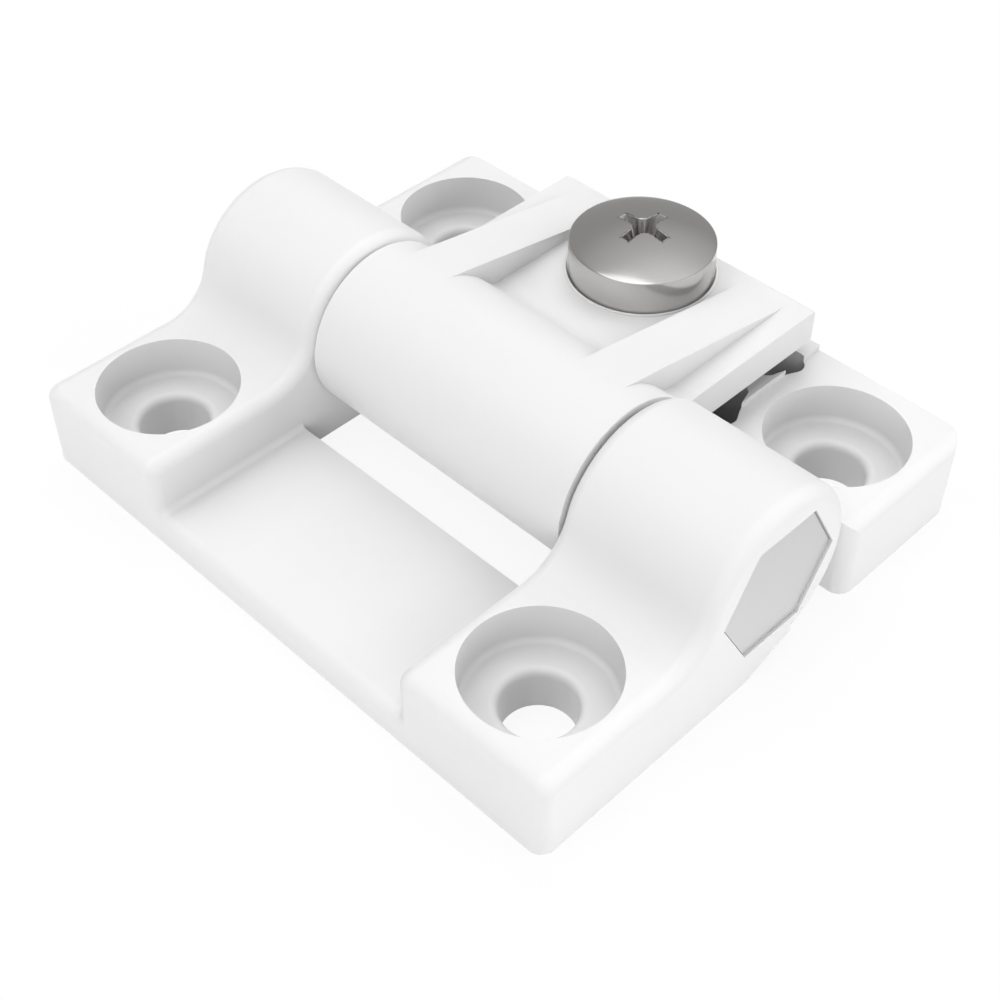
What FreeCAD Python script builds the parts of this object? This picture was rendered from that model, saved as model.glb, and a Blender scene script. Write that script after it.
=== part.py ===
import FreeCAD, Part
import math
import os

import Sketcher

# Driving dimensions in mm and degrees. X runs along the hinge pin, with 0 at its middle. Y runs
# across it, with the knuckle leaf on the minus side. Z is up from the mounting face.
DIMENSIONS = {
    # both leaves
    "hole_spacing_x": 40.0,
    "hole_spacing_y": 32.0,
    "edge_distance": 7.0,
    "pad_height": 7.2,
    "edge_radius": 1.2,
    "inner_chamfer": 0.7,
    "underside_slope": 20.5,
    # screw holes of both leaves
    "hole_diameter": 5.5,
    "counterbore_diameter": 11.2,
    "counterbore_depth": 3.5,
    "counterbore_wall": 1.1,
    # knuckles and clamp barrel
    "knuckle_radius": 7.5,
    "knuckle_lift": 0.9,
    "knuckle_blend": 4.0,
    "knuckle_end_wall": 1.8,
    "barrel_radius": 7.0,
    "side_gap": 0.3,
    "fold_clearance": 0.2,
    # web between the knuckle leaf's pads
    "web_thickness": 2.4,
    "web_fillet": 0.5,
    # clamp leaf
    "pad_gap": 1.3,
    "middle_step": 0.5,
    "rear_corner_radius": 2.0,
    "slit_height": 1.4,
    "ear_thickness": 2.9,
    "ear_setback": 1.4,
    "ear_blend": 2.0,
    "ear_edge_radius": 0.4,
    "rib_end_margin": 1.7,
    "rib_setback": 2.0,
    "rib_clearance": 0.9,
    "core_wall": 1.9,
    "core_corner": 1.0,
    "boss_lap": 1.6,
    # hinge pin
    "pin_diameter": 9.9,
    "pin_clearance": 0.05,
    "hexagon_flats": 10.0,
    "hexagon_clearance": 0.1,
    "hexagon_recess": 0.2,
    "pin_end_clearance": 0.2,
    "pin_chamfer": 0.6,
    # adjusting screw
    "screw_diameter": 5.0,
    "screw_tip_height": 0.5,
    "screw_hole_clearance": 0.25,
    "screw_tip_chamfer": 0.4,
    "head_diameter": 11.7,
    "head_side_draft": 0.08,
    "head_rim_height": 2.85,
    "head_dome_height": 1.3,
    "recess_span": 4.1,
    "recess_floor_span": 1.8,
    "recess_arm_width": 0.85,
    "recess_root_margin": 0.025,
    "recess_depth": 2.3,
    # clamp nut
    "nut_flats": 8.0,
    "nut_height": 4.0,
    "nut_side_clearance": 0.1,
    "nut_thread_clearance": 0.05,
    "nut_face_diameter": 7.6,
    "nut_chamfer_angle": 25.0,
    "nut_recess": 0.6,
}

# Sizes that follow from the driving ones, as formulas for the document's expressions.
HALF_LENGTH = "(Size.hole_spacing_x / 2 + Size.edge_distance)"
REACH = "(Size.hole_spacing_y / 2 + Size.edge_distance)"
HOLE_X = "(Size.hole_spacing_x / 2)"
HOLE_Y = "(Size.hole_spacing_y / 2)"
KNUCKLE_INNER = "(Size.hole_spacing_x / 2 - Size.counterbore_diameter / 2 - Size.counterbore_wall)"
HALF_BARREL = f"({KNUCKLE_INNER} - Size.side_gap)"
AXIS_HEIGHT = "(Size.knuckle_radius + Size.knuckle_lift)"
BORE_RADIUS = "(Size.pin_diameter / 2 + Size.pin_clearance)"
PAD_FRONT = "(Size.knuckle_radius + Size.pad_gap)"
MIDDLE_HEIGHT = "(Size.pad_height + Size.middle_step)"
SLIT_TOP = f"({MIDDLE_HEIGHT} + Size.slit_height)"
EAR_TOP = f"({SLIT_TOP} + Size.ear_thickness)"
EAR_REAR = f"({REACH} - Size.ear_setback)"
CORE_FRONT = f"({HOLE_Y} - {PAD_FRONT} - Size.core_wall)"
CORE_REAR = "(Size.edge_distance - Size.core_wall)"
BOSS_RADIUS = f"(max({CORE_FRONT}; {CORE_REAR}) + Size.boss_lap)"
SCREW_HOLE_DIAMETER = "(Size.screw_diameter + 2 * Size.screw_hole_clearance)"

CUT_MARGIN = 1.0


def make_sheet(doc):
    """The sheet of driving dimensions, one alias per row."""
    sheet = doc.addObject("Spreadsheet::Sheet", "Size")
    for row, (alias, size) in enumerate(DIMENSIONS.items(), start=1):
        sheet.set(f"A{row}", alias)
        sheet.set(f"B{row}", str(size))
        sheet.setAlias(f"B{row}", alias)
    doc.recompute()


def value(holder, formula):
    """A formula's present value as a plain number."""
    result = holder.evalExpression(formula)
    return float(getattr(result, "Value", result))


def circle_offset(radius, height):
    """Formula: how far a circle about the hinge axis lies from it in Y, at a given height."""
    return f"sqrt(({radius}) ^ 2 - (({height}) - {AXIS_HEIGHT}) ^ 2)"


def make_body(doc, label):
    body = doc.addObject("PartDesign::Body", label)
    body.Label = label
    return body


def make_sketch(body, name, plane, offset=None):
    """A sketch on one of the body's origin planes, moved along its normal by an offset formula."""
    sketch = body.newObject("Sketcher::SketchObject", name)
    support = next(item for item in body.Origin.OriginFeatures if item.Role == plane)
    sketch.AttachmentSupport = [(support, "")]
    sketch.MapMode = "FlatFace"
    if offset is not None:
        sketch.setExpression("AttachmentOffset.Base.z", offset)
    return sketch


def bind(sketch, kind, first, second, formula):
    """A dimension between two points, or of one curve, that follows a formula."""
    number = value(sketch, formula)
    index = sketch.addConstraint(Sketcher.Constraint(kind, *first, *second, number))
    sketch.setExpression(f"Constraints[{index}]", formula)


def place_point(sketch, point, along_x=None, along_y=None):
    """Ties a point to formulas for its distances from the sketch's origin."""
    origin = (-1, 1)
    if along_x is not None:
        bind(sketch, "DistanceX", origin, point, along_x)
    if along_y is not None:
        bind(sketch, "DistanceY", origin, point, along_y)


def outline(sketch, stations):
    """A closed outline. A station is (x, y), reached by a line, or (x, y, centre x, centre y, turn),
    reached by an arc about that centre, counterclockwise for a turn of 1 and clockwise for -1."""
    spots = [FreeCAD.Vector(value(sketch, s[0]), value(sketch, s[1]), 0) for s in stations]
    ends = []
    for i, station in enumerate(stations):
        start, end = spots[i - 1], spots[i]
        if len(station) == 2:
            curve = sketch.addGeometry(Part.LineSegment(start, end), False)
            ends.append((curve, 1, 2))
            continue
        centre = FreeCAD.Vector(value(sketch, station[2]), value(sketch, station[3]), 0)
        circle = Part.Circle(centre, FreeCAD.Vector(0, 0, 1), (end - centre).Length)
        angles = [math.atan2(p.y - centre.y, p.x - centre.x) for p in (start, end)]
        low, high = angles if station[4] > 0 else reversed(angles)
        if high < low:
            high += 2 * math.pi
        curve = sketch.addGeometry(Part.ArcOfCircle(circle, low, high), False)
        ends.append((curve, 1, 2) if station[4] > 0 else (curve, 2, 1))
        place_point(sketch, (curve, 3), station[2], station[3])
    for i, station in enumerate(stations):
        curve, _, last = ends[i]
        following, first, _ = ends[(i + 1) % len(ends)]
        sketch.addConstraint(Sketcher.Constraint("Coincident", curve, last, following, first))
        along_x, along_y = station[0], station[1]
        if len(station) == 5:
            # the arc's start and centre fix its radius, so its end needs one coordinate only
            from_centre = spots[i] - FreeCAD.Vector(value(sketch, station[2]), value(sketch, station[3]), 0)
            if abs(from_centre.x) > abs(from_centre.y):
                along_x = None
            else:
                along_y = None
        place_point(sketch, (curve, last), along_x, along_y)


def circle(sketch, centre_x, centre_y, radius):
    centre = FreeCAD.Vector(value(sketch, centre_x), value(sketch, centre_y), 0)
    shape = Part.Circle(centre, FreeCAD.Vector(0, 0, 1), value(sketch, radius))
    curve = sketch.addGeometry(shape, False)
    place_point(sketch, (curve, 3), centre_x, centre_y)
    bind(sketch, "Radius", (curve,), (), radius)


def hexagon(sketch, centre_x, centre_y, flats):
    """A hexagon with its corners to the left and right, sized across its flats."""
    stations = []
    for corner in range(6):
        angle = 60 * corner
        reach = f"({flats}) / (2 * cos(30))"
        stations.append((f"({centre_x}) + {reach} * cos({angle})", f"({centre_y}) + {reach} * sin({angle})"))
    outline(sketch, stations)


def pad(body, name, sketch, length, symmetric=False, reverse=False):
    feature = body.newObject("PartDesign::Pad", name)
    feature.Profile = sketch
    feature.setExpression("Length", length)
    feature.SideType = "Symmetric" if symmetric else "One side"
    feature.Reversed = reverse
    body.Document.recompute()
    return feature


def pocket(body, name, sketch, length=None, symmetric=False, reverse=False):
    """A cut by the sketch, to a length or through all, that has to remove something."""
    before = body.Shape.Volume
    feature = body.newObject("PartDesign::Pocket", name)
    feature.Profile = sketch
    if length is None:
        feature.Type = "ThroughAll"
    else:
        feature.setExpression("Length", length)
    feature.SideType = "Symmetric" if symmetric else "One side"
    feature.Reversed = reverse
    body.Document.recompute()
    if body.Shape.Volume >= before:
        raise ValueError(f"{name} cuts nothing")
    return feature


def mirror(body, name, feature):
    """Repeats a feature on the other side of the middle plane across the pin."""
    copy = body.newObject("PartDesign::Mirrored", name)
    copy.Originals = [feature]
    plane = next(item for item in body.Origin.OriginFeatures if item.Role == "YZ_Plane")
    copy.MirrorPlane = (plane, [""])
    body.Tip = copy
    body.Document.recompute()
    return copy


def dress_edges(body, kind, size_name, name, size, wanted):
    """A fillet or chamfer on each edge that the test picks."""
    base = body.Tip
    picked = [f"Edge{i}" for i, edge in enumerate(base.Shape.Edges, start=1) if wanted(edge)]
    if not picked:
        raise ValueError(f"{name} finds no edge")
    feature = body.newObject(kind, name)
    feature.Base = (base, picked)
    feature.setExpression(size_name, size)
    body.Document.recompute()
    if "Invalid" in feature.State or not body.Shape.isValid():
        raise ValueError(f"{name} fails")


def round_edges(body, name, radius, wanted):
    dress_edges(body, "PartDesign::Fillet", "Radius", name, radius, wanted)


def chamfer_edges(body, name, size, wanted):
    dress_edges(body, "PartDesign::Chamfer", "Size", name, size, wanted)


def near(first, second):
    return abs(first - second) < 0.01


def lies_in(edge, x=None, y=None, z=None):
    """Whether the whole edge lies in the planes given, where x counts on either side."""
    box = edge.BoundBox
    return ((x is None or (near(abs(box.XMin), x) and near(abs(box.XMax), x) and box.XLength < x))
            and (y is None or (near(box.YMin, y) and near(box.YMax, y)))
            and (z is None or (near(box.ZMin, z) and near(box.ZMax, z))))


def drill_mounting_holes(body, side):
    """Two counterbored screw holes in a leaf's pads, cut down from above the knuckles, so that no
    thin edge of a knuckle's blend is left over them."""
    row = f"({side} * {HOLE_Y})"
    above = f"({AXIS_HEIGHT} + Size.knuckle_radius + {CUT_MARGIN})"
    centres = make_sketch(body, "hole_centres", "XY_Plane", above)
    circle(centres, f"-{HOLE_X}", row, "Size.hole_diameter / 2")
    circle(centres, HOLE_X, row, "Size.hole_diameter / 2")
    body.Document.recompute()
    before = body.Shape.Volume
    holes = body.newObject("PartDesign::Hole", "mounting_holes")
    holes.Profile = centres
    holes.ThreadType = "None"
    holes.HoleCutType = "Counterbore"
    holes.HoleCutCustomValues = True
    holes.DepthType = "ThroughAll"
    holes.DrillPoint = "Flat"
    holes.setExpression("Diameter", "Size.hole_diameter")
    holes.setExpression("HoleCutDiameter", "Size.counterbore_diameter")
    holes.setExpression("HoleCutDepth", f"{above} - Size.pad_height + Size.counterbore_depth")
    body.Document.recompute()
    if body.Shape.Volume >= before:
        raise ValueError("the mounting holes cut nothing")


def make_knuckle_leaf(doc):
    """One moulding: two pads, the thin web between them and two knuckles. The right knuckle has the
    hexagonal socket that keys the pin, the left one a blind bore for the pin's round end."""
    body = make_body(doc, "knuckle_leaf")
    radius, slope = "Size.knuckle_radius", "Size.underside_slope"
    foot = f"-Size.knuckle_lift / tan({slope})"
    meeting = f"-{circle_offset(radius, 'Size.pad_height')}"
    web_rear = f"-({AXIS_HEIGHT} + Size.fold_clearance)"

    profile = make_sketch(body, "leaf_profile", "YZ_Plane")
    outline(profile, [
        (f"-{REACH}", "Size.pad_height"),
        (f"-{REACH}", "0"),
        (foot, "0"),
        (foot, AXIS_HEIGHT),
        ("0", AXIS_HEIGHT),
        ("0", "Size.knuckle_lift"),
        (meeting, "Size.pad_height", "0", AXIS_HEIGHT, 1),
    ])
    pad(body, "leaf", profile, f"2 * {HALF_LENGTH}", symmetric=True)

    relief = make_sketch(body, "relief_profile", "YZ_Plane")
    front = f"-({REACH} + {CUT_MARGIN})"
    top = f"{AXIS_HEIGHT} + {radius} + {CUT_MARGIN}"
    outline(relief, [
        (front, "Size.web_thickness"),
        (web_rear, "Size.web_thickness"),
        (web_rear, f"-{CUT_MARGIN}"),
        (f"{radius} + {CUT_MARGIN}", f"-{CUT_MARGIN}"),
        (f"{radius} + {CUT_MARGIN}", top),
        (front, top),
    ])
    pocket(body, "relief", relief, f"2 * {KNUCKLE_INNER}", symmetric=True)

    pad_top = value(body, "Size.pad_height")
    reach = value(body, REACH)
    half_length = value(body, HALF_LENGTH)
    inner = value(body, KNUCKLE_INNER)
    web_top = value(body, "Size.web_thickness")
    web_end = value(body, web_rear)
    fillet_top = value(body, "Size.web_thickness + Size.web_fillet")
    blend_line = value(body, meeting)
    foot_y = value(body, foot)
    axis_z = value(body, AXIS_HEIGHT)
    round_edges(body, "knuckle_blends", "Size.knuckle_blend",
                lambda e: lies_in(e, y=blend_line, z=pad_top))
    round_edges(body, "web_fillets", "Size.web_fillet", lambda e: lies_in(e, x=inner, z=web_top))

    def is_covered(edge):
        return any(lies_in(edge, **plane) for plane in ({"z": 0}, {"y": foot_y}, {"y": 0}, {"z": axis_z}))

    def is_outer(edge):
        at_front = lies_in(edge, y=-reach) and (lies_in(edge, x=half_length) or lies_in(edge, z=pad_top))
        return not is_covered(edge) and (at_front or lies_in(edge, x=half_length))

    def is_inner(edge):
        beside_web = edge.BoundBox.YMax < web_end + 0.01 and edge.BoundBox.ZMax < fillet_top + 0.01
        return lies_in(edge, x=inner) and not is_covered(edge) and not beside_web

    round_edges(body, "edge_rounding", "Size.edge_radius", is_outer)
    chamfer_edges(body, "inner_chamfers", "Size.inner_chamfer", is_inner)

    # the sharp-edged slope under each knuckle runs through the knuckle's lowest point
    heel = make_sketch(body, "heel_profile", "YZ_Plane", KNUCKLE_INNER)
    outline(heel, [
        (foot, "0"),
        (f"{radius} * cos({slope}) * sin({slope})", f"{AXIS_HEIGHT} - {radius} * cos({slope}) ^ 2"),
        ("0", AXIS_HEIGHT),
        (foot, AXIS_HEIGHT),
    ])
    right_heel = pad(body, "heel", heel, f"{HALF_LENGTH} - {KNUCKLE_INNER}")
    mirror(body, "heels", right_heel)

    bore = make_sketch(body, "bore_circle", "YZ_Plane")
    circle(bore, "0", AXIS_HEIGHT, BORE_RADIUS)
    pocket(body, "blind_bore", bore, f"{HALF_LENGTH} - Size.knuckle_end_wall")
    socket = make_sketch(body, "socket_hexagon", "YZ_Plane")
    hexagon(socket, "0", AXIS_HEIGHT, "Size.hexagon_flats + 2 * Size.hexagon_clearance")
    pocket(body, "hexagon_socket", socket, reverse=True)
    drill_mounting_holes(body, -1)
    return body


def core_outline(sketch, side, far):
    """One core-out pocket's outline: between the screw boss and a counterbore's wall, and from the
    cross rib to a formula's distance from the holes' row, behind it or in front."""
    turn = -side
    wall = "(Size.counterbore_diameter / 2 + Size.core_wall)"

    def boss_x(across):
        return f"sqrt({BOSS_RADIUS} ^ 2 - ({across}) ^ 2)"

    def wall_x(across):
        return f"{HOLE_X} - sqrt({wall} ^ 2 - ({across}) ^ 2)"

    near_rib = "Size.core_wall / 2"
    near_y = f"{HOLE_Y} + {side} * {near_rib}"
    far_y = f"{HOLE_Y} + {side} * {far}"
    outline(sketch, [
        (boss_x(near_rib), near_y, "0", HOLE_Y, turn),
        (wall_x(near_rib), near_y),
        (wall_x(far), far_y, HOLE_X, HOLE_Y, turn),
        (boss_x(far), far_y),
    ])


def make_clamp_leaf(doc):
    """One moulding: two pads, a cored middle, and a split barrel whose ear stands over the slit that
    the screw closes."""
    body = make_body(doc, "clamp_leaf")
    radius = "Size.barrel_radius"
    lowest = f"({AXIS_HEIGHT} - {radius})"
    foot = f"{lowest} / tan(Size.underside_slope)"
    corner = circle_offset(radius, EAR_TOP)

    section = make_sketch(body, "clamp_section", "YZ_Plane")
    outline(section, [
        (REACH, MIDDLE_HEIGHT),
        (REACH, "0"),
        (foot, "0"),
        ("0", lowest),
        (corner, EAR_TOP, "0", AXIS_HEIGHT, -1),
        (EAR_REAR, EAR_TOP),
        (EAR_REAR, SLIT_TOP),
        (circle_offset(BORE_RADIUS, SLIT_TOP), SLIT_TOP),
        (circle_offset(BORE_RADIUS, MIDDLE_HEIGHT), MIDDLE_HEIGHT, "0", AXIS_HEIGHT, 1),
    ])
    pad(body, "clamp", section, f"2 * {HALF_BARREL}", symmetric=True)

    # each rib's top runs from the ear's rear, along the tangent to the barrel
    rib_inner = "(Size.head_diameter / 2 + Size.rib_clearance)"
    rib_outer = f"({HALF_BARREL} - Size.rib_setback)"
    rib_end = f"({EAR_REAR} - Size.rib_end_margin)"
    rise = f"({EAR_TOP} - {AXIS_HEIGHT})"
    distance_squared = f"({rib_end} ^ 2 + {rise} ^ 2)"
    tangent = f"sqrt({distance_squared} - {radius} ^ 2)"
    touch_y = f"{radius} * ({radius} * {rib_end} - {tangent} * {rise}) / {distance_squared}"
    touch_z = f"{AXIS_HEIGHT} + {radius} * ({radius} * {rise} + {tangent} * {rib_end}) / {distance_squared}"
    rib = make_sketch(body, "rib_profile", "YZ_Plane", rib_inner)
    outline(rib, [
        (rib_end, EAR_TOP),
        (touch_y, touch_z),
        (corner, EAR_TOP, "0", AXIS_HEIGHT, -1),
    ])
    right_rib = pad(body, "rib", rib, f"{rib_outer} - {rib_inner}")
    mirror(body, "ribs", right_rib)

    ear_z = value(body, EAR_TOP)
    ear_y = value(body, EAR_REAR)
    ear_low = value(body, SLIT_TOP)
    corner_y = value(body, corner)
    round_edges(body, "ear_blends", "Size.ear_blend", lambda e: lies_in(e, y=corner_y, z=ear_z))
    round_edges(body, "ear_end_edges", "Size.ear_edge_radius",
                lambda e: lies_in(e, y=ear_y, z=ear_z) or lies_in(e, y=ear_y, z=ear_low))

    plan = make_sketch(body, "pad_plan", "XY_Plane")
    for side in (1, -1):
        front_x = f"{side} * ({HALF_LENGTH} - Size.edge_radius)"
        rear_x = f"{side} * ({HALF_LENGTH} - Size.rear_corner_radius)"
        outer_x = f"{side} * {HALF_LENGTH}"
        inner_x = f"{side} * {HALF_BARREL}"
        front_y = f"{PAD_FRONT} + Size.edge_radius"
        rear_y = f"{REACH} - Size.rear_corner_radius"
        outline(plan, [
            (inner_x, REACH),
            (inner_x, PAD_FRONT),
            (front_x, PAD_FRONT),
            (outer_x, front_y, front_x, front_y, side),
            (outer_x, rear_y),
            (rear_x, REACH, rear_x, rear_y, side),
        ])
    pad(body, "pads", plan, MIDDLE_HEIGHT)

    cores = make_sketch(body, "core_outlines", "XY_Plane", MIDDLE_HEIGHT)
    core_outline(cores, 1, CORE_REAR)
    core_outline(cores, -1, CORE_FRONT)
    right_cores = pocket(body, "right_cores", cores, f"{MIDDLE_HEIGHT} - Size.core_wall")
    mirror(body, "cores", right_cores)
    floor = value(body, "Size.core_wall")
    middle_z = value(body, MIDDLE_HEIGHT)

    def is_core_corner(edge):
        box = edge.BoundBox
        upright = box.XLength < 0.01 and box.YLength < 0.01
        return upright and near(box.ZMin, floor) and near(box.ZMax, middle_z)

    round_edges(body, "core_corners", "Size.core_corner", is_core_corner)

    pad_tops = make_sketch(body, "pad_top_profile", "XZ_Plane")
    for side in (1, -1):
        inner_x = f"{side} * {HALF_BARREL}"
        outer_x = f"{side} * {HALF_LENGTH}"
        clear_x = f"{side} * ({HALF_LENGTH} + {CUT_MARGIN})"
        bend_x = f"{side} * ({HALF_LENGTH} - Size.edge_radius)"
        bend_z = "Size.pad_height - Size.edge_radius"
        clear_z = f"{MIDDLE_HEIGHT} + {CUT_MARGIN}"
        outline(pad_tops, [
            (inner_x, "Size.pad_height"),
            (bend_x, "Size.pad_height"),
            (outer_x, bend_z, bend_x, bend_z, -side),
            (clear_x, bend_z),
            (clear_x, clear_z),
            (inner_x, clear_z),
        ])
    pocket(body, "pad_tops", pad_tops)

    screw_hole = make_sketch(body, "screw_hole_circle", "XY_Plane", EAR_TOP)
    circle(screw_hole, "0", HOLE_Y, f"{SCREW_HOLE_DIAMETER} / 2")
    pocket(body, "screw_hole", screw_hole)
    nut_pocket = make_sketch(body, "nut_pocket_hexagon", "XY_Plane")
    hexagon(nut_pocket, "0", HOLE_Y, "Size.nut_flats + 2 * Size.nut_side_clearance")
    pocket(body, "nut_pocket", nut_pocket, "Size.nut_height + Size.nut_recess", reverse=True)
    drill_mounting_holes(body, 1)
    return body


def make_hinge_pin(doc):
    """A metal pin: a hexagon in the right knuckle and a round length through the barrel."""
    body = make_body(doc, "hinge_pin")
    tip = f"{HALF_LENGTH} - Size.knuckle_end_wall - Size.pin_end_clearance"
    round_section = make_sketch(body, "round_section", "YZ_Plane", KNUCKLE_INNER)
    circle(round_section, "0", AXIS_HEIGHT, "Size.pin_diameter / 2")
    pad(body, "round_length", round_section, f"{KNUCKLE_INNER} + {tip}", reverse=True)
    bar_section = make_sketch(body, "bar_section", "YZ_Plane", KNUCKLE_INNER)
    hexagon(bar_section, "0", AXIS_HEIGHT, "Size.hexagon_flats")
    pad(body, "hexagon_length", bar_section, f"{HALF_LENGTH} - Size.hexagon_recess - {KNUCKLE_INNER}")
    tip_x = value(body, tip)
    chamfer_edges(body, "tip_chamfer", "Size.pin_chamfer", lambda e: lies_in(e, x=tip_x))
    return body


def make_adjusting_screw(doc):
    """A broad domed screw with a cross recess, about its own axis, with the head's seat at 0."""
    body = make_body(doc, "adjusting_screw")
    shank = "Size.screw_diameter / 2"
    side = "Size.head_diameter / 2"
    rim = f"({side} - Size.head_side_draft)"
    tip = f"Size.screw_tip_height - {EAR_TOP}"
    apex = "(Size.head_rim_height + Size.head_dome_height)"
    dome = f"(({rim} ^ 2 + Size.head_dome_height ^ 2) / (2 * Size.head_dome_height))"
    profile = make_sketch(body, "screw_profile", "XZ_Plane")
    outline(profile, [
        ("0", tip),
        (f"{shank} - Size.screw_tip_chamfer", tip),
        (shank, f"{tip} + Size.screw_tip_chamfer"),
        (shank, "0"),
        (side, "0"),
        (rim, "Size.head_rim_height"),
        ("0", apex, "0", f"{apex} - {dome}", 1),
    ])
    turned = body.newObject("PartDesign::Revolution", "turned_form")
    turned.Profile = profile
    turned.ReferenceAxis = (profile, ["V_Axis"])
    turned.Angle = 360
    doc.recompute()

    floor = f"{apex} - Size.recess_depth"
    top_x = "Size.recess_span / 2"
    floor_x = "Size.recess_floor_span / 2"
    for name, plane in (("first_slot", "XZ_Plane"), ("second_slot", "YZ_Plane")):
        slot = make_sketch(body, f"{name}_profile", plane)
        outline(slot, [
            (f"-{top_x}", apex),
            (f"-{floor_x}", floor),
            (floor_x, floor),
            (top_x, apex),
        ])
        pocket(body, name, slot, "Size.recess_arm_width", symmetric=True)
    arm = value(body, "Size.recess_arm_width / 2")

    def is_arm_corner(edge):
        return lies_in(edge, x=arm) and (lies_in(edge, y=arm) or lies_in(edge, y=-arm))

    root_radius = f"{floor_x} - Size.recess_arm_width / 2 - Size.recess_root_margin"
    round_edges(body, "recess_roots", root_radius, is_arm_corner)
    body.setExpression("Placement.Base.y", HOLE_Y)
    body.setExpression("Placement.Base.z", EAR_TOP)
    return body


def make_clamp_nut(doc):
    """A hexagon nut about its own axis, with its lower face at 0."""
    body = make_body(doc, "clamp_nut")
    section = make_sketch(body, "nut_section", "XY_Plane")
    hexagon(section, "0", "0", "Size.nut_flats")
    circle(section, "0", "0", "Size.screw_diameter / 2 + Size.nut_thread_clearance")
    pad(body, "nut", section, "Size.nut_height")

    # a cone at each face takes the hexagon's corners off
    corners = make_sketch(body, "corner_profile", "XZ_Plane")
    face = "Size.nut_face_diameter / 2"
    clear = f"({face} + {CUT_MARGIN})"
    rise = f"{CUT_MARGIN} * tan(Size.nut_chamfer_angle)"
    outline(corners, [(face, "0"), (clear, "0"), (clear, rise)])
    top = "Size.nut_height"
    outline(corners, [(face, top), (clear, f"{top} - {rise}"), (clear, top)])
    groove = body.newObject("PartDesign::Groove", "corner_chamfers")
    groove.Profile = corners
    groove.ReferenceAxis = (corners, ["V_Axis"])
    groove.Angle = 360
    doc.recompute()
    body.setExpression("Placement.Base.y", HOLE_Y)
    body.setExpression("Placement.Base.z", "Size.nut_recess")
    return body


def check_document(doc):
    """Stops on any failed object."""
    for item in doc.Objects:
        if "Invalid" in item.State or "Error" in item.State:
            raise ValueError(f"{item.Name} failed: {item.State}")


def main():
    doc = FreeCAD.newDocument("torque_hinge")
    make_sheet(doc)
    makers = (make_knuckle_leaf, make_clamp_leaf, make_hinge_pin, make_adjusting_screw, make_clamp_nut)
    bodies = [maker(doc) for maker in makers]
    doc.recompute()
    check_document(doc)
    for body in bodies:
        if body.Shape.isNull() or not body.Shape.isValid() or len(body.Shape.Solids) != 1:
            raise ValueError(f"{body.Label} isn't one valid solid")
    os.makedirs("parts", exist_ok=True)
    for body in bodies:
        body.Shape.exportStep(f"parts/{body.Label}.step")


main()
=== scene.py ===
from math import cos, degrees, hypot, radians, sin, sqrt

import bmesh
import bpy
from bpy.props import FloatProperty, FloatVectorProperty, PointerProperty
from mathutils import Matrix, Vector


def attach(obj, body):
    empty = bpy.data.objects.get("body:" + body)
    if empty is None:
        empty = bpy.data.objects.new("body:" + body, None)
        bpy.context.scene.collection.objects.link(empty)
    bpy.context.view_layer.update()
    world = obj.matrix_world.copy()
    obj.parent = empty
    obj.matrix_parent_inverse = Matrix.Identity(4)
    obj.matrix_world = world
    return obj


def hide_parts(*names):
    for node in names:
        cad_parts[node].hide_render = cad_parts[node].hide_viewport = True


bl_info = {
    "name": "Torque hinge",
    "version": (1, 0, 0),
    "blender": (4, 5, 0),
    "location": "3D View > Sidebar > Torque hinge",
    "description": "Finishes the pieces of a torque hinge and sets its stage",
    "category": "Object",
}

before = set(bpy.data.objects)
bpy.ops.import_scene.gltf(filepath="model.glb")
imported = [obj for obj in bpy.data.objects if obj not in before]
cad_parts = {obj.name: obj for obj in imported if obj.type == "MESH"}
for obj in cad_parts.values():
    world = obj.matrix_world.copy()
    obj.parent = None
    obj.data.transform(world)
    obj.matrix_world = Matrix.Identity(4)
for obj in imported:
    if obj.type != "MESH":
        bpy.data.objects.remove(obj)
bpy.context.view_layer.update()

# Places on the CAD solids. All lengths in this script are in metres.
HOLE_X = 0.020
HOLE_Y = {"knuckle_leaf": -0.016, "clamp_leaf": 0.016}
HOLE_RADIUS = 0.00275
COUNTERBORE_RADIUS = 0.0056
LEDGE_HEIGHT = 0.0037
AXIS_HEIGHT = 0.0084
BARREL_RADIUS = 0.007
HALF_BARREL = 0.0130
EAR_FOOT = 0.0092
EAR_TOP = 0.0120

# The chamfers on the knuckle leaf's inner edges end within this x, and are rounded by this much.
CHAMFER_REACH = 0.0141
CHAMFER_ROUNDING = 0.00038

# The adjusting screw's head, with a ring of its dome at every step outwards. A gap and then a bead
# go round its foot, and the bead's middle lies above the ear by this share of its radius.
SCREW_CENTRE = (0.0, 0.016)
HEAD_SEAT = EAR_TOP
HEAD_RADIUS = 0.00585
HEAD_DRAFT = 0.00008
HEAD_RIM = 0.01485
HEAD_TOP = 0.01615
HEAD_EDGE = 0.00003
RIM_EDGE = 0.00004
DOME_STEP = 0.00035
DOME_STEPS = 16
BEAD_GAP = 0.00001
BEAD_RISE = 0.35

# The screw's shank: rings of the blank, (radius, height), and the heights between which its thread
# runs.
SHANK_OUTLINE = ((0.0021, 0.0005), (0.0025, 0.0009), (0.0026, 0.00101), (0.0026, 0.0122))
THREAD_ENDS = (0.0002, 0.0126)
THREAD_RADIUS = 0.0025

# A 60 degree thread: rise of a flank for its depth, and how root and crest share what is left.
FLANK_RISE = 0.577
ROOT_SHARE = 0.64
CREST_SHARE = 0.36

# The screw's cross recess: heights of floor and top, half widths, and the rounding of its edge on
# the dome, which lies above this height and within this radius.
RECESS_ENDS = (0.01385, 0.0163)
RECESS_HALF_SPAN = 0.00237
RECESS_HALF_FLOOR = 0.0009
RECESS_HALF_ARM = 0.000425
RECESS_ROUNDING = 0.00009
RECESS_EDGE_HEIGHT = 0.0158
RECESS_EDGE_REACH = 0.0025

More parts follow.
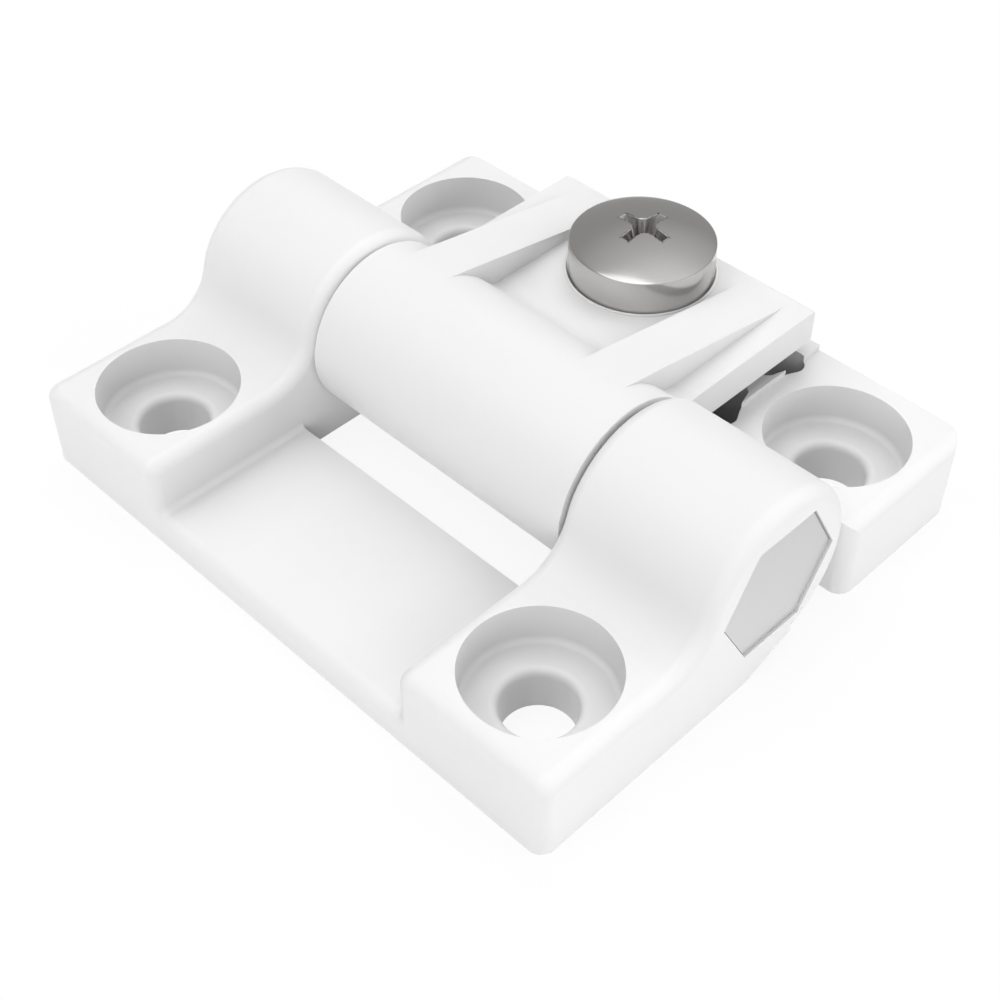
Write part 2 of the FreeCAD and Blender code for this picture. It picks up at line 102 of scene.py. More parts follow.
# How near an edge lies to the place it is known by, the distance at which corners are one, and the
# size below which a face has shrunk to nothing.
NEAR = 0.00001
WELD = 0.000001
SPECK = 0.0000004

CAMERA_PLACE = (0.067012, -0.066776, 0.091933)
CAMERA_TARGET = (0.007023, -0.006744, 0.0072)

# Share of plain white in what the camera sees of the floor.
FLOOR_WHITE = 0.88

# Soft lamps: name, azimuth and elevation in degrees, share of the light, whether metal mirrors it.
LAMPS = (
    ("lamp_camera_low", 45, 15, 0.878, False),
    ("lamp_right_rear_low", 135, 15, 0.917, False),
    ("lamp_front_high", 0, 68, 0.37, True),
    ("lamp_rear_high", 180, 75, 0.53, False),
    ("lamp_left_rear", 225, 45, 0.543, False),
    ("lamp_left_front", 315, 45, 0.514, False),
)

# The studio that metal mirrors: grey tones, each after its place between bottom (0) and top (1),
# the places beyond which it is white, and the direction of its top.
STUDIO_TONES = ((0.34, 0.41), (0.66, 0.41), (0.8, 0.58), (0.88, 0.67), (0.92, 0.78))
STUDIO_WHITE = (0.3, 0.98)
STUDIO_TOP = (0.35, 0.15, 0.92)

# Painted shade in hollows, darkening the plastic's colour: how far off a wall still closes a place
# in, and the share of open surroundings at which the painted shade is full.
PAINTED_SHADE_REACH = 0.008
PAINTED_SHADE_OPEN = 0.4

# The broad faint clouds in every material's colour.
CLOUDS_PER_METRE = 90.0

WHITE = (1, 1, 1, 1)


class PlasticSettings(bpy.types.PropertyGroup):
    """Finish of the moulded leaves"""

    colour: FloatVectorProperty(
        name="Colour", description="Colour of the moulded plastic",
        default=(0.80, 0.80, 0.80), size=3, min=0, max=1, subtype="COLOR")
    roughness: FloatProperty(
        name="Roughness", description="How dull the moulded surface is",
        default=0.42, min=0, max=1, subtype="FACTOR")
    grain: FloatProperty(
        name="Grain", description="Size of the mould's fine grain",
        default=0.0002, min=0.00001, max=0.01, unit="LENGTH", precision=5)
    grain_depth: FloatProperty(
        name="Grain depth", description="Depth of the mould's fine grain",
        default=0.000005, min=0, max=0.001, unit="LENGTH", precision=6)
    # Painted shade: this darkens the plastic's colour in its hollows, where shade falls.
    shade: FloatProperty(
        name="Shade in hollows", description="How much darker the plastic is in its hollows",
        default=0.16, min=0, max=1, subtype="FACTOR")
    lip_radius: FloatProperty(
        name="Hole lips", description="Radius of the roundings where the screw holes open",
        default=0.0007, min=0.0001, max=0.001, unit="LENGTH", precision=5)
    ledge_radius: FloatProperty(
        name="Ledge corners", description="Radius at the foot of the counterbores' walls",
        default=0.0005, min=0.0001, max=0.001, unit="LENGTH", precision=5)
    bead: FloatProperty(
        name="Seat bead", description="Radius of the round bead about the screw's head",
        default=0.00011, min=0.00005, max=0.0002, unit="LENGTH", precision=5)
    ear_edge: FloatProperty(
        name="Ear's sides", description="Radius along the sides of the clamp ear",
        default=0.0001, min=0.00005, max=0.0005, unit="LENGTH", precision=5)


class MetalSettings(bpy.types.PropertyGroup):
    """Finish of the metal pieces"""

    steel: FloatVectorProperty(
        name="Steel", description="Colour of the screw and the nut",
        default=(0.56, 0.55, 0.54), size=3, min=0, max=1, subtype="COLOR")
    aluminium: FloatVectorProperty(
        name="Aluminium", description="Colour of the hinge pin",
        default=(0.88, 0.88, 0.88), size=3, min=0, max=1, subtype="COLOR")
    steel_roughness: FloatProperty(
        name="Steel roughness", description="How dull the screw is",
        default=0.2, min=0, max=1, subtype="FACTOR")
    pin_roughness: FloatProperty(
        name="Pin roughness", description="How dull the pin's cut end is",
        default=0.4, min=0, max=1, subtype="FACTOR")
    thread_pitch: FloatProperty(
        name="Thread pitch", description="Rise of the screw's thread in one turn",
        default=0.0008, min=0.0005, max=0.001, unit="LENGTH", precision=5)
    thread_depth: FloatProperty(
        name="Thread depth", description="Depth of the screw's thread",
        default=0.00045, min=0.0001, max=0.0005, unit="LENGTH", precision=5)
    recess_root: FloatProperty(
        name="Recess roots", description="Radius of the rounded corners between the recess's arms",
        default=0.0008, min=0.0001, max=0.001, unit="LENGTH", precision=5)


class StageSettings(bpy.types.PropertyGroup):
    """Floor, light and camera"""

    floor_size: FloatProperty(
        name="Floor size", description="Length of the floor's side",
        default=8.0, min=0.5, max=50, unit="LENGTH")
    floor_colour: FloatVectorProperty(
        name="Floor", description="Colour of the floor",
        default=(0.9, 0.9, 0.9), size=3, min=0, max=1, subtype="COLOR")
    world_strength: FloatProperty(
        name="Surrounding light", description="Strength of the light from all sides",
        default=0.03, min=0, max=5)
    lamp_strength: FloatProperty(
        name="Lamps", description="Strength of the soft lamps",
        default=1.7, min=0, max=20)
    lamp_spread: FloatProperty(
        name="Softness", description="Angle across each soft lamp",
        default=radians(50), min=0, max=radians(120), subtype="ANGLE")
    lens: FloatProperty(
        name="Lens", description="The camera's focal length",
        default=59.95, min=10, max=300, unit="CAMERA")


class HingeSettings(bpy.types.PropertyGroup):
    """All settings of the torque hinge"""

    plastic: PointerProperty(type=PlasticSettings)
    metal: PointerProperty(type=MetalSettings)
    stage: PointerProperty(type=StageSettings)


def work_on(piece):
    """Makes the piece the only one selected and active, and goes to edit mode."""
    bpy.ops.object.select_all(action="DESELECT")
    piece.select_set(True)
    bpy.context.view_layer.objects.active = piece
    bpy.ops.object.mode_set(mode="EDIT")


def choose(piece, kind, wanted):
    """In edit mode, selects the piece's vertices, edges or faces that are wanted."""
    bpy.ops.mesh.select_mode(type=kind)
    bpy.ops.mesh.select_all(action="DESELECT")
    mesh = bmesh.from_edit_mesh(piece.data)
    chosen = 0
    for part in {"VERT": mesh.verts, "EDGE": mesh.edges, "FACE": mesh.faces}[kind]:
        if wanted(part):
            part.select_set(True)
            chosen += 1
    if not chosen:
        raise ValueError(f"{piece.name} has none of the wanted places")
    mesh.select_flush_mode()
    bmesh.update_edit_mesh(piece.data)


def round_off(piece, radius, steps, wanted):
    """In edit mode, rounds the wanted edges."""
    choose(piece, "EDGE", wanted)
    bpy.ops.mesh.bevel(offset=radius, offset_type="OFFSET", segments=steps, affect="EDGES")


def combine(piece, other, operation):
    """In object mode, joins the other shape to the piece, cuts it out or keeps what both fill.
    The other is used up."""
    change = piece.modifiers.new("combine", "BOOLEAN")
    change.operation = operation
    change.object = other
    change.solver = "EXACT"
    bpy.ops.object.select_all(action="DESELECT")
    bpy.context.view_layer.objects.active = piece
    bpy.ops.object.modifier_apply(modifier=change.name)
    bpy.data.objects.remove(other)


def merged_copy(node, name):
    """A new piece in a CAD node's shape, its loose triangles merged to whole flat faces. It is left
    in edit mode."""
    piece = bpy.data.objects.new(name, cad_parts[node].data.copy())
    piece.data.name = name
    bpy.context.scene.collection.objects.link(piece)
    work_on(piece)
    bpy.ops.mesh.customdata_custom_splitnormals_clear()
    bpy.ops.mesh.select_all(action="SELECT")
    bpy.ops.mesh.remove_doubles(threshold=WELD)
    bpy.ops.mesh.dissolve_limited(angle_limit=radians(0.1))
    return piece


def smooth(piece, angle, even=False):
    """In edit mode, merges what has shrunk to nothing, then shades the piece smooth up to the angle
    in degrees and leaves it in object mode. An even piece keeps its large faces flat beside small
    roundings."""
    bpy.ops.mesh.select_all(action="SELECT")
    bpy.ops.mesh.remove_doubles(threshold=SPECK)
    bpy.ops.mesh.dissolve_degenerate(threshold=SPECK)
    bpy.ops.object.mode_set(mode="OBJECT")
    bpy.ops.object.shade_smooth_by_angle(angle=radians(angle))
    if even:
        weighted = piece.modifiers.new("even", "WEIGHTED_NORMAL")
        weighted.keep_sharp = True
        bpy.ops.object.modifier_apply(modifier=weighted.name)


def on_rim(edge, leaf, radius):
    """Whether an edge lies at the ledges' height, on a circle round a screw hole of the leaf."""
    return all(
        abs(corner.co.z - LEDGE_HEIGHT) < NEAR
        and abs(hypot(abs(corner.co.x) - HOLE_X, corner.co.y - HOLE_Y[leaf]) - radius) < NEAR
        for corner in edge.verts)


def turn_at(edge):
    """Degrees by which the edge's two faces turn from one another, 0 where they are level."""
    return degrees(edge.calc_face_angle(0))


def round_holes(piece, leaf, own):
    """In edit mode, the roundings inside a leaf's two counterbores."""
    for radius, rim in ((own.lip_radius, HOLE_RADIUS), (own.ledge_radius, COUNTERBORE_RADIUS)):
        round_off(piece, radius, steps=5, wanted=lambda edge: on_rim(edge, leaf, rim))


def close_off():
    """In edit mode, turns all normals outwards, then goes to object mode."""
    bpy.ops.mesh.select_all(action="SELECT")
    bpy.ops.mesh.normals_make_consistent(inside=False)
    bpy.ops.object.mode_set(mode="OBJECT")


def turned(name, centre, outline, steps):
    """A closed turned shape: the outline's rings, (radius, height) from the bottom up."""
    bpy.ops.object.select_all(action="DESELECT")
    radius, height = outline[0]
    bpy.ops.mesh.primitive_circle_add(
        vertices=steps, radius=radius, fill_type="NGON", location=(*centre, height))
    piece = bpy.context.object
    piece.name = piece.data.name = name
    bpy.ops.object.transform_apply(location=True, rotation=True, scale=True)
    work_on(piece)
    bpy.ops.mesh.select_all(action="SELECT")
    for next_radius, next_height in outline[1:]:
        bpy.ops.mesh.extrude_region_move(
            TRANSFORM_OT_translate={"value": (0, 0, next_height - height)})
        share = next_radius / radius
        bpy.ops.transform.resize(value=(share, share, 1), center_override=(*centre, next_height))
        radius, height = next_radius, next_height
    close_off()
    return piece


def threaded_rod(name, centre, crest, depth, pitch, low, high):
    """A rod with a right-hand thread, cut off square at both ends."""
    flank = depth * FLANK_RISE
    flat = pitch - 2 * flank
    steps = ((0, flat * ROOT_SHARE), (depth, flank), (0, flat * CREST_SHARE), (-depth, flank))
    bpy.ops.object.select_all(action="DESELECT")
    bpy.ops.mesh.primitive_plane_add(size=0.001, location=(*centre, low - 2 * pitch))
    piece = bpy.context.object
    piece.name = piece.data.name = name
    work_on(piece)
    bpy.ops.mesh.select_mode(type="VERT")
    bpy.ops.mesh.select_all(action="SELECT")
    bpy.ops.mesh.merge(type="CENTER")
    bpy.ops.transform.translate(value=(crest - depth, 0, 0))
    for outwards, upwards in steps:
        bpy.ops.mesh.extrude_region_move(
            TRANSFORM_OT_translate={"value": (outwards, 0, upwards)})
    bpy.ops.object.mode_set(mode="OBJECT")
    helix = piece.modifiers.new("helix", "SCREW")
    helix.axis = "Z"
    helix.steps = helix.render_steps = 40
    helix.screw_offset = pitch
    helix.iterations = int((high - low) / pitch) + 4
    bpy.ops.object.modifier_apply(modifier=helix.name)
    bpy.ops.object.transform_apply(location=True, rotation=True, scale=True)
    work_on(piece)
    bpy.ops.mesh.select_all(action="SELECT")
    bpy.ops.mesh.remove_doubles(threshold=WELD)
    for height, above in ((low, False), (high, True)):
        bpy.ops.mesh.select_all(action="SELECT")
        bpy.ops.mesh.bisect(plane_co=(*centre, height), plane_no=(0, 0, 1), use_fill=True,
                            clear_inner=not above, clear_outer=above)
    close_off()
    return piece


def recess_cutter(name, centre, floor, top, half_span, half_floor, half_arm, root):
    """The space of a cross recess: four thin arms with rounded roots, tapering to a flat floor."""
    bpy.ops.object.select_all(action="DESELECT")
    bpy.ops.mesh.primitive_plane_add(size=2 * half_arm, location=(*centre, top))
    piece = bpy.context.object
    piece.name = piece.data.name = name
    bpy.ops.object.transform_apply(location=True, rotation=True, scale=True)
    work_on(piece)
    for axis in (0, 1):
        for side in (-1, 1):
            edge_place = centre[axis] + side * half_arm
            choose(piece, "EDGE", lambda edge: all(
                abs(corner.co[axis] - edge_place) < WELD
                and abs(corner.co[1 - axis] - centre[1 - axis]) < half_arm + WELD
                for corner in edge.verts))
            way = [0, 0, 0]
            way[axis] = side * (half_span - half_arm)
            bpy.ops.mesh.extrude_edges_move(TRANSFORM_OT_translate={"value": way})
    bpy.ops.mesh.select_all(action="SELECT")
    bpy.ops.mesh.dissolve_faces()
    choose(piece, "VERT", lambda corner: all(
        abs(abs(corner.co[axis] - centre[axis]) - half_arm) < WELD for axis in (0, 1)))
    bpy.ops.mesh.bevel(offset=root, offset_type="OFFSET", segments=6, affect="VERTICES")
    bpy.ops.mesh.select_all(action="SELECT")
    bpy.ops.mesh.extrude_region_move(TRANSFORM_OT_translate={"value": (0, 0, floor - top)})
    share = half_floor / half_span
    bpy.ops.transform.resize(value=(share, share, 1), center_override=(*centre, floor))
    close_off()
    return piece


def fine_grain():
    """The shared effect: a fine grain that varies the colour, the roughness and the normal."""
    group = bpy.data.node_groups.get("fine_grain")
    if group:
        return group
    group = bpy.data.node_groups.new("fine_grain", "ShaderNodeTree")
    sockets = group.interface
    for name, kind in (("Colour", "NodeSocketColor"), ("Tone spread", "NodeSocketFloat"),
                       ("Roughness", "NodeSocketFloat"), ("Roughness spread", "NodeSocketFloat"),
                       ("Grains per metre", "NodeSocketFloat"), ("Depth", "NodeSocketFloat"),
                       ("Normal", "NodeSocketVector")):
        sockets.new_socket(name, in_out="INPUT", socket_type=kind)
    for name, kind in (("Colour", "NodeSocketColor"), ("Roughness", "NodeSocketFloat"),
                       ("Normal", "NodeSocketVector")):
        sockets.new_socket(name, in_out="OUTPUT", socket_type=kind)
    nodes, link = group.nodes, group.links.new
    given = nodes.new("NodeGroupInput")
    made = nodes.new("NodeGroupOutput")
    place = nodes.new("ShaderNodeTexCoord")
    grain = nodes.new("ShaderNodeTexNoise")
    grain.inputs["Detail"].default_value = 3.0
    link(place.outputs["Object"], grain.inputs["Vector"])
    link(given.outputs["Grains per metre"], grain.inputs["Scale"])
    cloud = nodes.new("ShaderNodeTexNoise")
    cloud.inputs["Scale"].default_value = CLOUDS_PER_METRE
    cloud.inputs["Detail"].default_value = 2.0
    link(place.outputs["Object"], cloud.inputs["Vector"])

    def spread(source, amount, middle):
        """middle plus amount times the source's distance from one half."""
        centred = nodes.new("ShaderNodeMath")
        centred.operation = "SUBTRACT"
        centred.inputs[1].default_value = 0.5
        link(source, centred.inputs[0])
        scaled = nodes.new("ShaderNodeMath")
        scaled.operation = "MULTIPLY_ADD"
        link(centred.outputs[0], scaled.inputs[0])
        link(amount, scaled.inputs[1])
        if isinstance(middle, float):
            scaled.inputs[2].default_value = middle
        else:
            link(middle, scaled.inputs[2])
        return scaled.outputs[0]

    tone = nodes.new("ShaderNodeVectorMath")
    tone.operation = "SCALE"
    link(given.outputs["Colour"], tone.inputs[0])
    link(spread(cloud.outputs["Fac"], given.outputs["Tone spread"], 1.0), tone.inputs["Scale"])
    link(tone.outputs["Vector"], made.inputs["Colour"])
    dullness = spread(
        grain.outputs["Fac"], given.outputs["Roughness spread"], given.outputs["Roughness"])
    link(dullness, made.inputs["Roughness"])
    bump = nodes.new("ShaderNodeBump")
    link(given.outputs["Depth"], bump.inputs["Distance"])
    link(grain.outputs["Fac"], bump.inputs["Height"])
    link(given.outputs["Normal"], bump.inputs["Normal"])
    link(bump.outputs["Normal"], made.inputs["Normal"])
    return group


def grained_material(name, colour, roughness, grain, depth, tone_spread, roughness_spread,
                     metallic=0.0, edge_radius=0.0, shade=0.0):
    """A material whose colour, roughness and normal come through the fine grain. An edge radius
    shows the piece's edges rounded, and shade is painted into the colour of its hollows."""
    material = bpy.data.materials.new(name)
    material.use_nodes = True
    nodes, link = material.node_tree.nodes, material.node_tree.links.new
    shader = nodes["Principled BSDF"]
    shader.inputs["Metallic"].default_value = metallic
    effect = nodes.new("ShaderNodeGroup")
    effect.node_tree = fine_grain()
    effect.inputs["Colour"].default_value = (*colour, 1.0)
    effect.inputs["Tone spread"].default_value = tone_spread
    effect.inputs["Roughness"].default_value = roughness
    effect.inputs["Roughness spread"].default_value = roughness_spread
    effect.inputs["Grains per metre"].default_value = 1.0 / grain
    effect.inputs["Depth"].default_value = depth
    if edge_radius:
        soft = nodes.new("ShaderNodeBevel")
        soft.samples = 8
        soft.inputs["Radius"].default_value = edge_radius
        link(soft.outputs["Normal"], effect.inputs["Normal"])
    else:
        link(nodes.new("ShaderNodeNewGeometry").outputs["Normal"], effect.inputs["Normal"])
    colour_out = effect.outputs["Colour"]
    # Painted shade: ambient occlusion within the piece darkens the base colour in its hollows.
    if shade:
        painted_shade_mask = nodes.new("ShaderNodeAmbientOcclusion")
        painted_shade_mask.samples = 8
        painted_shade_mask.only_local = True
        painted_shade_mask.inputs["Distance"].default_value = PAINTED_SHADE_REACH
        level = nodes.new("ShaderNodeMapRange")
        level.inputs["From Min"].default_value = PAINTED_SHADE_OPEN
        level.inputs["From Max"].default_value = 1.0
        level.inputs["To Min"].default_value = 1.0 - shade
        level.inputs["To Max"].default_value = 1.0
        link(painted_shade_mask.outputs["AO"], level.inputs["Value"])
        painted_shade_colour = nodes.new("ShaderNodeVectorMath")
        painted_shade_colour.operation = "SCALE"
        link(colour_out, painted_shade_colour.inputs[0])
        link(level.outputs[0], painted_shade_colour.inputs["Scale"])
        colour_out = painted_shade_colour.outputs["Vector"]
    link(colour_out, shader.inputs["Base Color"])
    link(effect.outputs["Roughness"], shader.inputs["Roughness"])
    link(effect.outputs["Normal"], shader.inputs["Normal"])
    return material


def give_finish(piece, material):
    """The material in all the piece's slots."""
    if not piece.material_slots:
        piece.data.materials.append(material)
    for slot in piece.material_slots:
        slot.material = material


def steel_of(own):
    """The screw's and the nut's steel, made once."""
    return bpy.data.materials.get("bright_steel") or grained_material(
        "bright_steel", own.steel, own.steel_roughness, grain=0.0001, depth=0.0000005,
        tone_spread=0.03, roughness_spread=0.08, metallic=1.0)


class MakeLeaves(bpy.types.Operator):
    """Make both moulded leaves, with the small roundings in their holes and along their edges"""

    bl_idname = "torque_hinge.make_leaves"
    bl_label = "Leaves"

    def execute(self, context):
        own = context.scene.torque_hinge.plastic
        plastic = grained_material(
            "moulded_white", own.colour, own.roughness, own.grain, own.grain_depth,
            tone_spread=0.02, roughness_spread=0.1, shade=own.shade)
        for piece, node, body in ((self.knuckle_leaf(own), "knuckle_leaf", "fixed_leaf"),
                                  (self.clamp_leaf(own), "clamp_leaf", "swinging_leaf")):
            give_finish(piece, plastic)
            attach(piece, body)
            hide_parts(node)
        return {"FINISHED"}

    def knuckle_leaf(self, own):
        """The leaf with the knuckles. Its inner edges go from flat chamfers to roundings."""

        def beside_chamfer(edge):
            """Whether an edge goes along one of the chamfers, which turn by about 45 degrees."""
            return (37 < turn_at(edge) < 53
                    and max(abs(corner.co.x) for corner in edge.verts) < CHAMFER_REACH)

        piece = merged_copy("knuckle_leaf", "knuckle_leaf_moulding")
        round_holes(piece, "knuckle_leaf", own)
        round_off(piece, CHAMFER_ROUNDING, steps=3, wanted=beside_chamfer)
        smooth(piece, angle=19, even=True)
        return piece

    def clamp_leaf(self, own):
        """The leaf with the split barrel. Its ear gets the bead and softened side edges."""

        def on_ear_side(corner):
            """Whether a corner lies in the plane of an ear's side and outside the barrel."""
            return (abs(abs(corner.co.x) - HALF_BARREL) < NEAR
                    and hypot(corner.co.y, corner.co.z - AXIS_HEIGHT) > BARREL_RADIUS - 2 * NEAR
                    and corner.co.z > EAR_FOOT)

        piece = merged_copy("clamp_leaf", "clamp_leaf_moulding")
        bpy.ops.object.mode_set(mode="OBJECT")
        combine(piece, self.seat_bead(own), "UNION")
        work_on(piece)
        round_holes(piece, "clamp_leaf", own)
        round_off(piece, own.ear_edge, steps=3, wanted=lambda edge: (
            turn_at(edge) > 60 and all(on_ear_side(corner) for corner in edge.verts)))
        smooth(piece, angle=19, even=True)
        return piece

    def seat_bead(self, own):
        """The raised round bead on the ear, just outside the screw's head."""
        inside = HEAD_RADIUS + BEAD_GAP
        middle = inside + own.bead
        rings = [(middle + own.bead, EAR_TOP - own.bead)]
        for turn in range(0, 166, 15):
            out, up = cos(radians(turn)), sin(radians(turn))
            rings.append((middle + own.bead * out, EAR_TOP + own.bead * (BEAD_RISE + up)))
        bead = turned("seat_bead", SCREW_CENTRE, rings, steps=96)
        seat = turned("seat", SCREW_CENTRE, (
            (inside, EAR_TOP - 2 * own.bead), (inside, EAR_TOP + 2 * own.bead)), steps=96)
        combine(bead, seat, "DIFFERENCE")
        return bead


class FinishPin(bpy.types.Operator):
    """Give the hinge pin its satin aluminium"""

    bl_idname = "torque_hinge.finish_pin"
    bl_label = "Hinge pin"

    def execute(self, context):
        own = context.scene.torque_hinge.metal
        metal = grained_material(
            "pin_aluminium", own.aluminium, own.pin_roughness, grain=0.0002, depth=0.000002,
            tone_spread=0.03, roughness_spread=0.1, metallic=1.0, edge_radius=0.00008)
        give_finish(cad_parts["hinge_pin"], metal)
        return {"FINISHED"}


class MakeScrew(bpy.types.Operator):
    """Make the adjusting screw with its thread, domed head and cross recess"""

    bl_idname = "torque_hinge.make_screw"
    bl_label = "Adjusting screw"

    def execute(self, context):
        own = context.scene.torque_hinge.metal

        def on_recess_edge(corner):
            """Whether a corner lies where the recess opens in the dome."""
            return (corner.co.z > RECESS_EDGE_HEIGHT
                    and hypot(corner.co.x, corner.co.y - SCREW_CENTRE[1]) < RECESS_EDGE_REACH)

        piece = turned("adjusting_screw_turned", SCREW_CENTRE, self.head_outline(), steps=128)
        blank = turned("shank_blank", SCREW_CENTRE, SHANK_OUTLINE, steps=64)
        thread = threaded_rod("thread", SCREW_CENTRE, THREAD_RADIUS, own.thread_depth,
                              own.thread_pitch, *THREAD_ENDS)
        combine(thread, blank, "INTERSECT")
        combine(piece, thread, "UNION")
        recess = recess_cutter("recess", SCREW_CENTRE, *RECESS_ENDS, RECESS_HALF_SPAN,
                               RECESS_HALF_FLOOR, RECESS_HALF_ARM, own.recess_root)
        combine(piece, recess, "DIFFERENCE")
        work_on(piece)
        round_off(piece, RECESS_ROUNDING, steps=3, wanted=lambda edge: (
            turn_at(edge) > 50 and all(on_recess_edge(corner) for corner in edge.verts)))
        smooth(piece, angle=30)
        give_finish(piece, steel_of(own))
        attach(piece, "screw")
        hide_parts("adjusting_screw")
        return {"FINISHED"}

    def head_outline(self):
        """The head's rings from its seat up: rounded lower edge, drafted side, rim and dome."""
        rise = HEAD_TOP - HEAD_RIM
        rim = HEAD_RADIUS - HEAD_DRAFT
        ball = (rim * rim + rise * rise) / (2 * rise)
        rings = [(HEAD_RADIUS - HEAD_EDGE, HEAD_SEAT),
                 (HEAD_RADIUS - HEAD_EDGE / 3, HEAD_SEAT + HEAD_EDGE / 3),
                 (HEAD_RADIUS, HEAD_SEAT + HEAD_EDGE),
                 (rim, HEAD_RIM - RIM_EDGE), (rim - HEAD_EDGE, HEAD_RIM)]
        for step in range(DOME_STEPS, 0, -1):
            out = step * DOME_STEP
            rings.append((out, HEAD_TOP - ball + sqrt(ball ** 2 - out ** 2)))
        return rings


class FinishNut(bpy.types.Operator):
    """Give the clamp nut its steel"""

    bl_idname = "torque_hinge.finish_nut"
    bl_label = "Clamp nut"

    def execute(self, context):
        give_finish(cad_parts["clamp_nut"], steel_of(context.scene.torque_hinge.metal))
        return {"FINISHED"}


def larger(nodes, link, first, second):
    """The larger of two outputs."""
    either = nodes.new("ShaderNodeMath")
    either.operation = "MAXIMUM"
    link(first, either.inputs[0])
    link(second, either.inputs[1])
    return either.outputs[0]


def seen_directly(nodes, link, path):
    """1 for camera, glossy and transmission rays, otherwise 0."""
    mirrored = larger(
        nodes, link, path.outputs["Is Glossy Ray"], path.outputs["Is Transmission Ray"])
    return larger(nodes, link, path.outputs["Is Camera Ray"], mirrored)


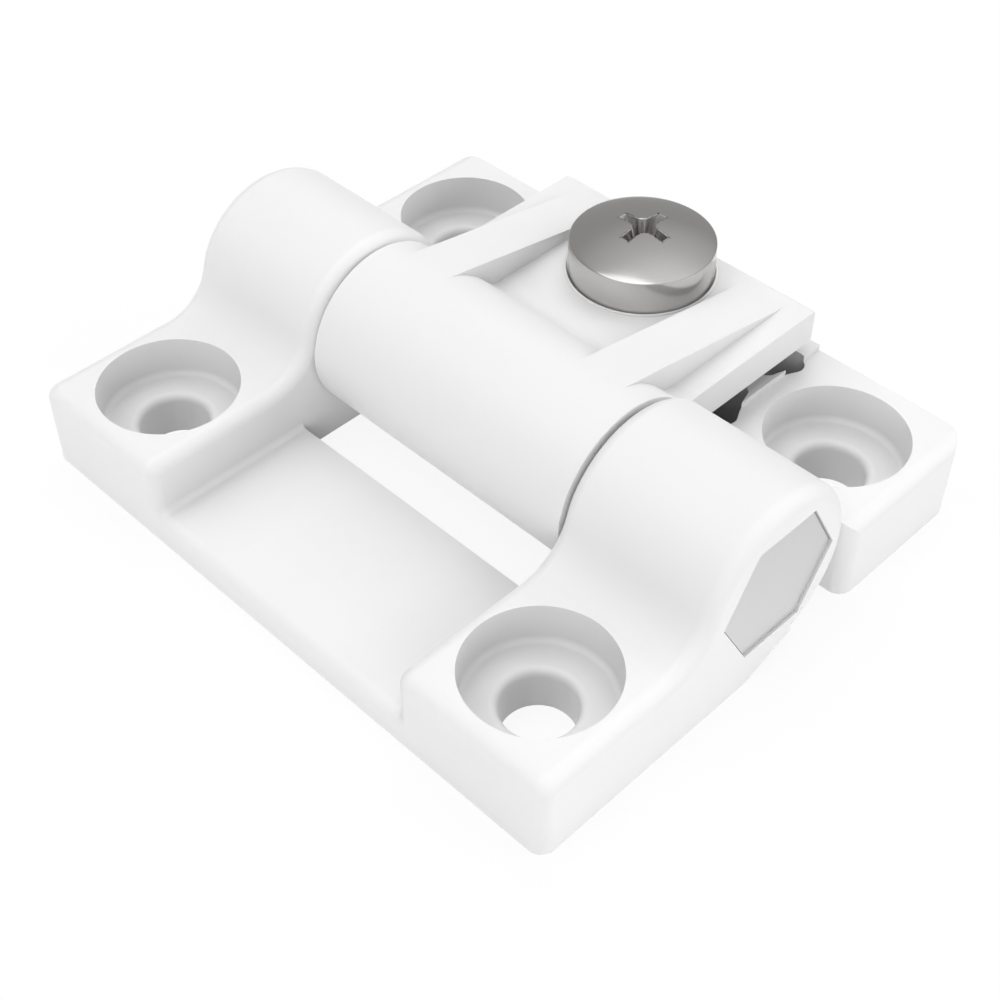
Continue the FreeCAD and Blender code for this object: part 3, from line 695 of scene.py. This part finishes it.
class SetStage(bpy.types.Operator):
    """Make the floor, the light and the camera"""

    bl_idname = "torque_hinge.set_stage"
    bl_label = "Stage"

    def execute(self, context):
        scene = context.scene
        own = scene.torque_hinge.stage
        self.make_floor(own)
        self.make_world(scene, own)
        self.make_lamps(own)
        self.make_camera(scene, own)
        scene.view_settings.view_transform = "Standard"
        return {"FINISHED"}

    def make_floor(self, own):
        """A pale floor that shows near white and keeps a soft shadow."""
        bpy.ops.object.select_all(action="DESELECT")
        bpy.ops.mesh.primitive_plane_add(size=own.floor_size, location=(0, 0, 0))
        floor = bpy.context.object
        floor.name = "floor"
        floor.visible_glossy = False
        material = bpy.data.materials.new("floor")
        material.use_nodes = True
        nodes, link = material.node_tree.nodes, material.node_tree.links.new
        shader = nodes["Principled BSDF"]
        shader.inputs["Base Color"].default_value = (*own.floor_colour, 1.0)
        shader.inputs["Roughness"].default_value = 0.9
        shader.inputs["Specular IOR Level"].default_value = 0.0
        white = nodes.new("ShaderNodeEmission")
        white.inputs["Strength"].default_value = 1.0
        share = nodes.new("ShaderNodeMath")
        share.operation = "MULTIPLY"
        share.inputs[1].default_value = FLOOR_WHITE
        link(seen_directly(nodes, link, nodes.new("ShaderNodeLightPath")), share.inputs[0])
        mix = nodes.new("ShaderNodeMixShader")
        link(share.outputs[0], mix.inputs["Fac"])
        link(shader.outputs[0], mix.inputs[1])
        link(white.outputs[0], mix.inputs[2])
        link(mix.outputs[0], nodes["Material Output"].inputs["Surface"])
        give_finish(floor, material)

    def make_world(self, scene, own):
        """A white background. Metal mirrors a studio, grey at its walls, white above and below."""
        world = bpy.data.worlds.new("studio")
        world.use_nodes = True
        nodes, link = world.node_tree.nodes, world.node_tree.links.new
        path = nodes.new("ShaderNodeLightPath")
        light = nodes["Background"]
        light.inputs["Color"].default_value = WHITE
        light.inputs["Strength"].default_value = own.world_strength
        looked_at = nodes.new("ShaderNodeTexCoord")
        lean = nodes.new("ShaderNodeVectorMath")
        lean.operation = "DOT_PRODUCT"
        lean.inputs[1].default_value = STUDIO_TOP
        link(looked_at.outputs["Generated"], lean.inputs[0])
        height = nodes.new("ShaderNodeMapRange")
        height.inputs["From Min"].default_value = -1.0
        link(lean.outputs["Value"], height.inputs["Value"])
        walls = nodes.new("ShaderNodeValToRGB")
        link(height.outputs[0], walls.inputs[0])
        stops = walls.color_ramp.elements
        for stop, position in zip(stops, STUDIO_WHITE):
            stop.position, stop.color = position, WHITE
        for position, tone in STUDIO_TONES:
            stops.new(position).color = (tone, tone, tone, 1)
        shown = nodes.new("ShaderNodeMix")
        shown.data_type = "RGBA"
        shown.inputs["B"].default_value = WHITE
        link(path.outputs["Is Camera Ray"], shown.inputs["Factor"])
        link(walls.outputs["Color"], shown.inputs["A"])
        backdrop = nodes.new("ShaderNodeBackground")
        link(shown.outputs["Result"], backdrop.inputs["Color"])
        mix = nodes.new("ShaderNodeMixShader")
        link(seen_directly(nodes, link, path), mix.inputs["Fac"])
        link(light.outputs[0], mix.inputs[1])
        link(backdrop.outputs[0], mix.inputs[2])
        link(mix.outputs[0], nodes["World Output"].inputs["Surface"])
        scene.world = world

    def make_lamps(self, own):
        """Broad soft lamps far away, all round the hinge."""
        for name, azimuth, elevation, share, mirrored in LAMPS:
            bpy.ops.object.light_add(
                type="SUN", rotation=(radians(90 - elevation), 0, radians(azimuth)))
            lamp = bpy.context.object
            lamp.name = name
            lamp.data.energy = own.lamp_strength * share
            lamp.data.angle = own.lamp_spread
            lamp.visible_glossy = mirrored

    def make_camera(self, scene, own):
        """The camera at the photograph's angle."""
        bpy.ops.object.camera_add(location=CAMERA_PLACE)
        camera = bpy.context.object
        camera.name = "camera"
        camera.data.lens = own.lens
        camera.data.sensor_width = 36.0
        camera.data.clip_start = 0.005
        camera.data.clip_end = 50.0
        aim = Vector(CAMERA_TARGET) - Vector(CAMERA_PLACE)
        camera.rotation_euler = aim.to_track_quat("-Z", "Y").to_euler()
        scene.camera = camera


class HingePanel(bpy.types.Panel):
    """Panel with the pieces and the stage"""

    bl_idname = "VIEW3D_PT_torque_hinge"
    bl_label = "Torque hinge"
    bl_space_type = "VIEW_3D"
    bl_region_type = "UI"
    bl_category = "Torque hinge"

    def draw(self, context):
        for operator in OPERATORS:
            self.layout.operator(operator.bl_idname)


OPERATORS = (MakeLeaves, FinishPin, MakeScrew, FinishNut, SetStage)
CLASSES = (PlasticSettings, MetalSettings, StageSettings, HingeSettings, *OPERATORS, HingePanel)


def register():
    for each in CLASSES:
        bpy.utils.register_class(each)
    bpy.types.Scene.torque_hinge = PointerProperty(type=HingeSettings)


def unregister():
    del bpy.types.Scene.torque_hinge
    for each in reversed(CLASSES):
        bpy.utils.unregister_class(each)


def main():
    register()
    bpy.ops.torque_hinge.make_leaves()
    bpy.ops.torque_hinge.finish_pin()
    bpy.ops.torque_hinge.make_screw()
    bpy.ops.torque_hinge.finish_nut()
    bpy.ops.torque_hinge.set_stage()


if __name__ == "__main__":
    main()
